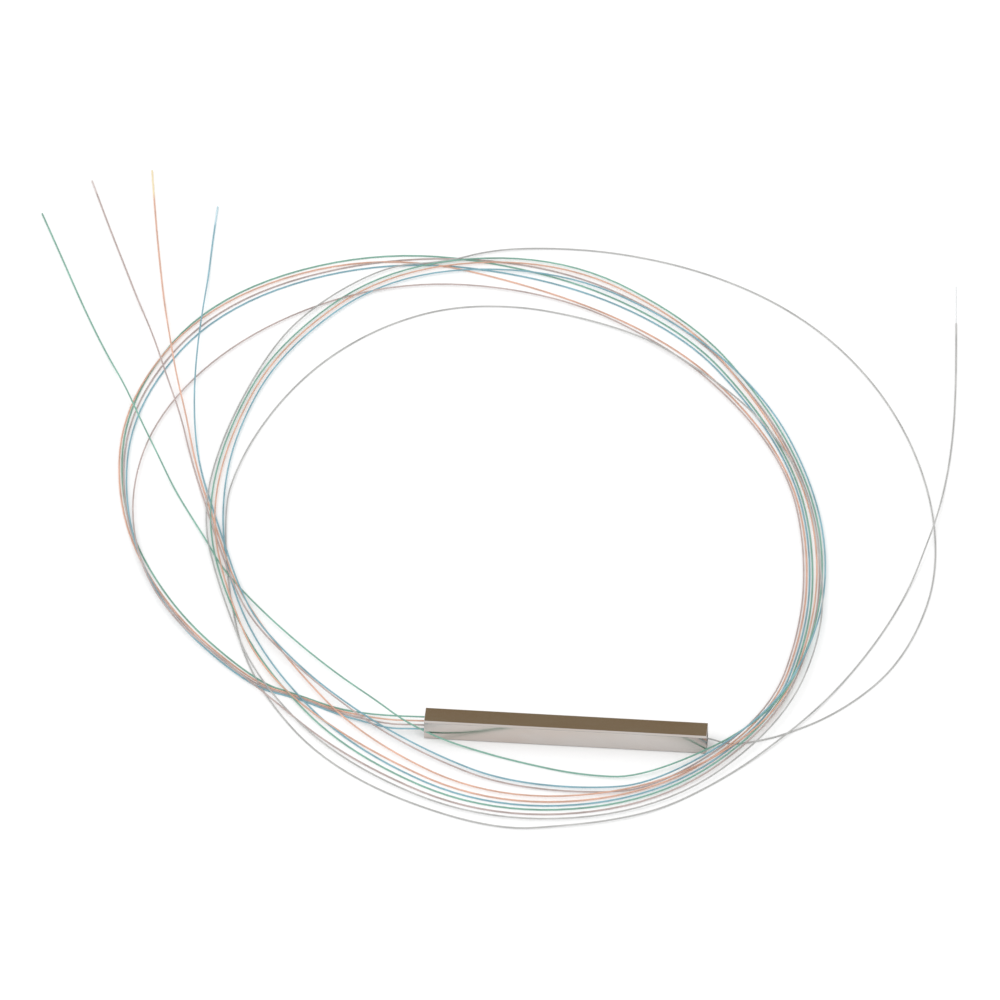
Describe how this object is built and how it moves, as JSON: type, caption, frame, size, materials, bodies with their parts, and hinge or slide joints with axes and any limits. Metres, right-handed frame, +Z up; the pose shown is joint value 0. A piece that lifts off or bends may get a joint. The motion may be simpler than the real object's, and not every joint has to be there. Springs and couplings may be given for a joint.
{
  "type": "plc fibre splitter",
  "caption": "Bare-fibre planar splitter: a slim square steel tube with one clear input fibre and four coloured output fibres wound into a loose coil.",
  "frame": {"origin": "centre of the steel tube's underside, on the surface it lies on", "axes": "+X along the tube towards the input end, +Z up, +Y across the tube towards the coil"},
  "size_m": [0.1732, 0.1792, 0.004],
  "materials": {
    "stainless_tube": "drawn and lightly brushed stainless",
    "silicone": "soft translucent silicone",
    "chip_glass": "polished quartz chip",
    "block_glass": "ground glass block",
    "lid_glass": "polished glass lid",
    "adhesive": "cured optical adhesive",
    "seal": "dark cured silicone",
    "clear_fibre": "natural clear acrylate coating",
    "green_fibre": "green inked coating",
    "orange_fibre": "orange inked coating",
    "brown_fibre": "brown inked coating",
    "blue_fibre": "blue inked coating",
    "bare_glass": "stripped and cleaned glass",
    "coil": "mixed inked fibre coatings"
  },
  "bodies": {
    "root": {"steel_tube": "stainless_tube", "bonding_bed": "silicone", "plc_chip": "chip_glass", "chip_lid_input": "lid_glass", "chip_lid_output": "lid_glass", "input_block": "block_glass", "input_block_lid": "lid_glass", "input_glue_line": "adhesive", "input_bead": "adhesive", "input_seal": "seal", "input_fibre_inside": "clear_fibre", "output_block": "block_glass", "output_block_lid": "lid_glass", "output_glue_line": "adhesive", "output_bead": "adhesive", "output_seal": "seal", "green_fibre_inside": "green_fibre", "orange_fibre_inside": "orange_fibre", "brown_fibre_inside": "brown_fibre", "blue_fibre_inside": "blue_fibre", "input_lead": "clear_fibre", "input_tail": "clear_fibre", "input_inner_turn": "clear_fibre", "input_bare_tip": "bare_glass", "green_lead": "green_fibre", "green_tail": "green_fibre", "orange_lead": "orange_fibre", "orange_tail": "orange_fibre", "brown_lead": "brown_fibre", "brown_tail": "brown_fibre", "blue_lead": "blue_fibre", "blue_tail": "blue_fibre", "fibre_coil": "coil"}
  },
  "joints": []
}
